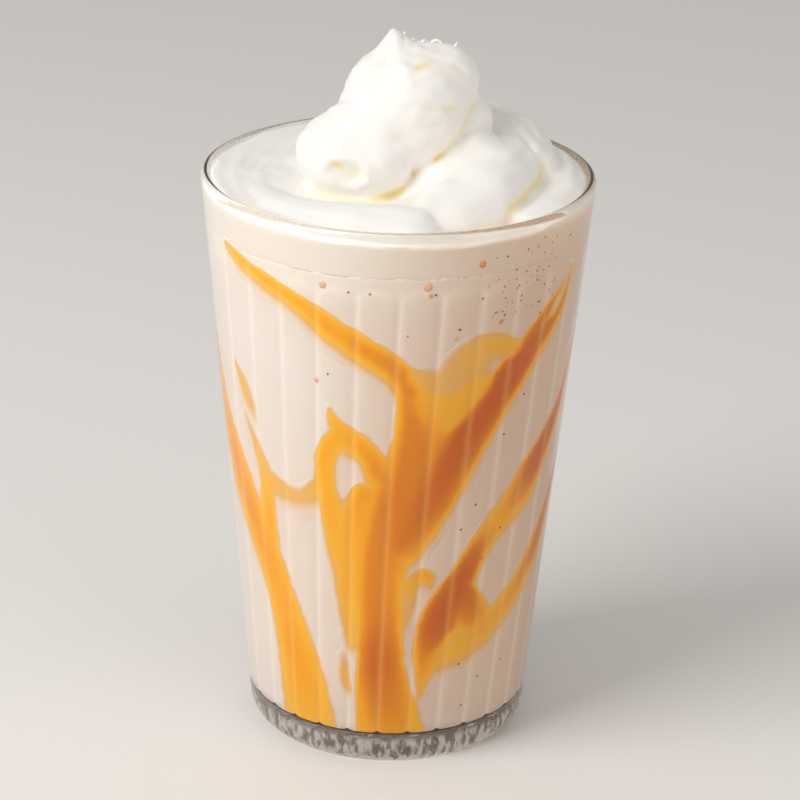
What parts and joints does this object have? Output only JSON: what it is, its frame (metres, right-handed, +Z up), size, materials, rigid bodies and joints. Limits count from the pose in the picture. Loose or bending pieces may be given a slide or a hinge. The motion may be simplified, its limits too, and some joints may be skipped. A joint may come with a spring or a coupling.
{
  "type": "banana milkshake",
  "caption": "Banana milkshake with caramel streaks in a tapered, inside-fluted glass tumbler, topped with swirled whipped cream.",
  "frame": {"origin": "middle of the glass's foot, on the surface it stands on", "axes": "+Z up along the glass's axis, -Y towards the front, +X to the right seen from the front"},
  "size_m": [0.0922, 0.0922, 0.1749],
  "materials": {
    "glass": "clear pressed glass",
    "milkshake": "smooth thick liquid with fine specks",
    "whipped_cream": "soft satin",
    "caramel": "translucent syrup",
    "specks": "matte"
  },
  "bodies": {
    "root": {"glass": "glass", "milkshake": "milkshake", "whipped_cream": "whipped_cream"}
  },
  "joints": []
}
